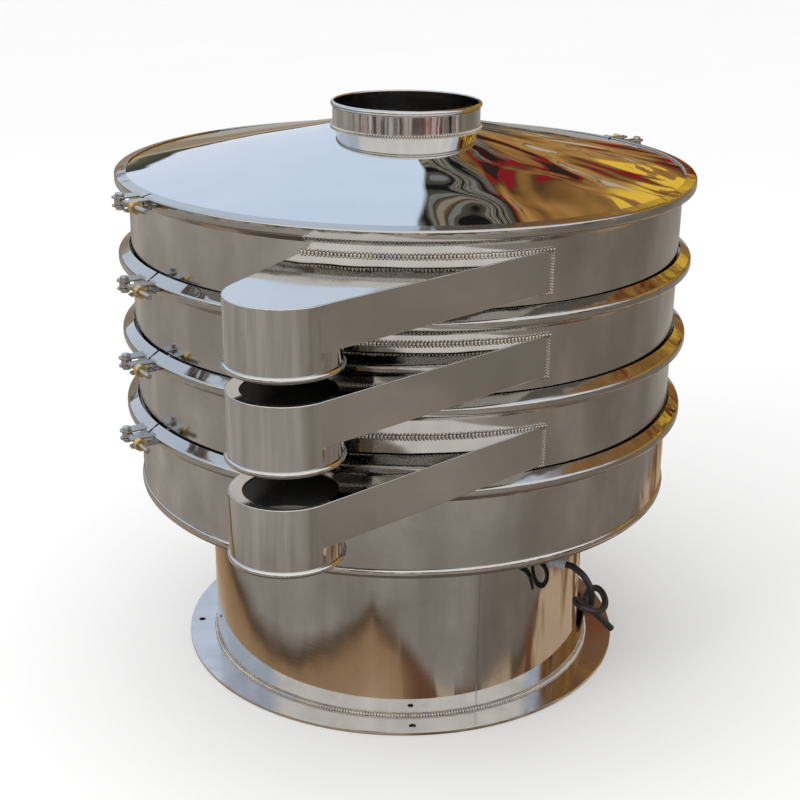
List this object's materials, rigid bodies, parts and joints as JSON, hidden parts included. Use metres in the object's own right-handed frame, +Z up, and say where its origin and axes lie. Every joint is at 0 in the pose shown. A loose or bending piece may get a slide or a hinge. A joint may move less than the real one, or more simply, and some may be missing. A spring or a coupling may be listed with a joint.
{
  "type": "vibrating sieve",
  "caption": "Round vibrating sieve: stacked screen frames held by V-profile clamp bands, conical lid with inlet collar, side discharge chutes, sprung on a cylindrical base",
  "frame": {"origin": "centre of the base flange's underside, on the floor", "axes": "+Z up along the machine's axis; -Y towards the three discharge chutes; +X to the right seen from them"},
  "size_m": [1.047, 1.5764, 1.053],
  "materials": {
    "polished_steel": "polished",
    "satin_steel": "satin",
    "brass": "satin",
    "woven_steel": "matte",
    "spring_steel": "satin",
    "cast_iron": "matte",
    "weight_steel": "satin",
    "rubber": "matte",
    "grey_plastic": "satin",
    "black_rubber": "matte"
  },
  "bodies": {
    "base": {"base_flange": "polished_steel", "base_shell": "polished_steel", "spring_deck": "satin_steel", "cable_gland": "grey_plastic", "power_cable": "black_rubber", "spring_1": "spring_steel", "spring_2": "spring_steel", "spring_3": "spring_steel", "spring_4": "spring_steel", "spring_5": "spring_steel", "spring_6": "spring_steel"},
    "sieve_body": {"bottom_frame": "polished_steel", "vibrating_plate": "satin_steel", "discharge_dish": "polished_steel", "rear_chute": "polished_steel", "lower_frame": "polished_steel", "lower_chute": "polished_steel", "middle_frame": "polished_steel", "middle_chute": "polished_steel", "top_frame": "polished_steel", "top_chute": "polished_steel", "lid_cone": "polished_steel", "inlet_collar": "polished_steel", "lower_screen": "woven_steel", "middle_screen": "woven_steel", "upper_screen": "woven_steel", "motor_housing": "cast_iron", "terminal_box": "cast_iron", "lower_gasket": "rubber", "middle_gasket": "rubber", "upper_gasket": "rubber", "lid_gasket": "rubber", "lower_band_front": "polished_steel", "lower_band_rear": "polished_steel", "middle_band_front": "polished_steel", "middle_band_rear": "polished_steel", "upper_band_front": "polished_steel", "upper_band_rear": "polished_steel", "lid_band_front": "polished_steel", "lid_band_rear": "polished_steel"},
    "rotor": {"motor_shaft": "weight_steel", "upper_weight": "weight_steel", "lower_weight": "weight_steel"},
    "phase_weight_body": {"phase_weight": "weight_steel"},
    "lower_bolt_left": {"lower_swing_bolt_left": "satin_steel"},
    "lower_nut_left": {"lower_clamp_nut_left": "brass"},
    "lower_bolt_right": {"lower_swing_bolt_right": "satin_steel"},
    "lower_nut_right": {"lower_clamp_nut_right": "brass"},
    "middle_bolt_left": {"middle_swing_bolt_left": "satin_steel"},
    "middle_nut_left": {"middle_clamp_nut_left": "brass"},
    "middle_bolt_right": {"middle_swing_bolt_right": "satin_steel"},
    "middle_nut_right": {"middle_clamp_nut_right": "brass"},
    "upper_bolt_left": {"upper_swing_bolt_left": "satin_steel"},
    "upper_nut_left": {"upper_clamp_nut_left": "brass"},
    "upper_bolt_right": {"upper_swing_bolt_right": "satin_steel"},
    "upper_nut_right": {"upper_clamp_nut_right": "brass"},
    "lid_bolt_left": {"lid_swing_bolt_left": "satin_steel"},
    "lid_nut_left": {"lid_clamp_nut_left": "brass"},
    "lid_bolt_right": {"lid_swing_bolt_right": "satin_steel"},
    "lid_nut_right": {"lid_clamp_nut_right": "brass"}
  },
  "joints": [
    {"name": "body_bounce", "type": "slide", "parent": "base", "child": "sieve_body", "axis": [0, 0, 1], "range_m": [-0.004, 0.004], "stiffness_N_per_m": 100000, "springref_m": 0.02341, "deforming": ["spring_1", "spring_2", "spring_3", "spring_4", "spring_5", "spring_6"]},
    {"name": "rotor_spin", "type": "hinge", "parent": "sieve_body", "child": "rotor", "pos_m": [0, 0, 0.3], "axis": [0, 0, 1], "continuous": true},
    {"name": "weight_phase", "type": "hinge", "parent": "rotor", "child": "phase_weight_body", "pos_m": [0, 0, 0.13], "axis": [0, 0, 1], "range_deg": [0, 90]},
    {"name": "lower_swing_left", "type": "hinge", "parent": "sieve_body", "child": "lower_bolt_left", "pos_m": [-0.48343, -0.26793, 0.508], "axis": [0, 0, -1], "range_deg": [0, 70]},
    {"name": "lower_nut_back_off_left", "type": "slide", "parent": "lower_bolt_left", "child": "lower_nut_left", "axis": [0.5284, -0.849, 0], "range_m": [0, 0.0085]},
    {"name": "lower_swing_right", "type": "hinge", "parent": "sieve_body", "child": "lower_bolt_right", "pos_m": [0.48343, 0.26793, 0.508], "axis": [0, 0, -1], "range_deg": [0, 70]},
    {"name": "lower_nut_back_off_right", "type": "slide", "parent": "lower_bolt_right", "child": "lower_nut_right", "axis": [-0.5284, 0.849, 0], "range_m": [0, 0.0085]},
    {"name": "middle_swing_left", "type": "hinge", "parent": "sieve_body", "child": "middle_bolt_left", "pos_m": [-0.47378, -0.28464, 0.648], "axis": [0, 0, -1], "range_deg": [0, 70]},
    {"name": "middle_nut_back_off_left", "type": "slide", "parent": "middle_bolt_left", "child": "middle_nut_left", "axis": [0.5577, -0.83, 0], "range_m": [0, 0.0085]},
    {"name": "middle_swing_right", "type": "hinge", "parent": "sieve_body", "child": "middle_bolt_right", "pos_m": [0.47378, 0.28464, 0.648], "axis": [0, 0, -1], "range_deg": [0, 70]},
    {"name": "middle_nut_back_off_right", "type": "slide", "parent": "middle_bolt_right", "child": "middle_nut_right", "axis": [-0.5577, 0.83, 0], "range_m": [0, 0.0085]},
    {"name": "upper_swing_left", "type": "hinge", "parent": "sieve_body", "child": "upper_bolt_left", "pos_m": [-0.46617, -0.29694, 0.788], "axis": [0, 0, -1], "range_deg": [0, 70]},
    {"name": "upper_nut_back_off_left", "type": "slide", "parent": "upper_bolt_left", "child": "upper_nut_left", "axis": [0.5793, -0.8151, 0], "range_m": [0, 0.0085]},
    {"name": "upper_swing_right", "type": "hinge", "parent": "sieve_body", "child": "upper_bolt_right", "pos_m": [0.46617, 0.29694, 0.788], "axis": [0, 0, -1], "range_deg": [0, 70]},
    {"name": "upper_nut_back_off_right", "type": "slide", "parent": "upper_bolt_right", "child": "upper_nut_right", "axis": [-0.5793, 0.8151, 0], "range_m": [0, 0.0085]},
    {"name": "lid_swing_left", "type": "hinge", "parent": "sieve_body", "child": "lid_bolt_left", "pos_m": [-0.46617, -0.29694, 0.928], "axis": [0, 0, -1], "range_deg": [0, 70]},
    {"name": "lid_nut_back_off_left", "type": "slide", "parent": "lid_bolt_left", "child": "lid_nut_left", "axis": [0.5793, -0.8151, 0], "range_m": [0, 0.0085]},
    {"name": "lid_swing_right", "type": "hinge", "parent": "sieve_body", "child": "lid_bolt_right", "pos_m": [0.46617, 0.29694, 0.928], "axis": [0, 0, -1], "range_deg": [0, 70]},
    {"name": "lid_nut_back_off_right", "type": "slide", "parent": "lid_bolt_right", "child": "lid_nut_right", "axis": [-0.5793, 0.8151, 0], "range_m": [0, 0.0085]}
  ],
  "couplings": [
    {"joint": "lower_nut_back_off_left", "follows": "lower_swing_left", "m_per_rad": 0.0066},
    {"joint": "lower_nut_back_off_right", "follows": "lower_swing_right", "m_per_rad": 0.0066},
    {"joint": "middle_nut_back_off_left", "follows": "middle_swing_left", "m_per_rad": 0.0066},
    {"joint": "middle_nut_back_off_right", "follows": "middle_swing_right", "m_per_rad": 0.0066},
    {"joint": "upper_nut_back_off_left", "follows": "upper_swing_left", "m_per_rad": 0.0066},
    {"joint": "upper_nut_back_off_right", "follows": "upper_swing_right", "m_per_rad": 0.0066},
    {"joint": "lid_nut_back_off_left", "follows": "lid_swing_left", "m_per_rad": 0.0066},
    {"joint": "lid_nut_back_off_right", "follows": "lid_swing_right", "m_per_rad": 0.0066}
  ]
}
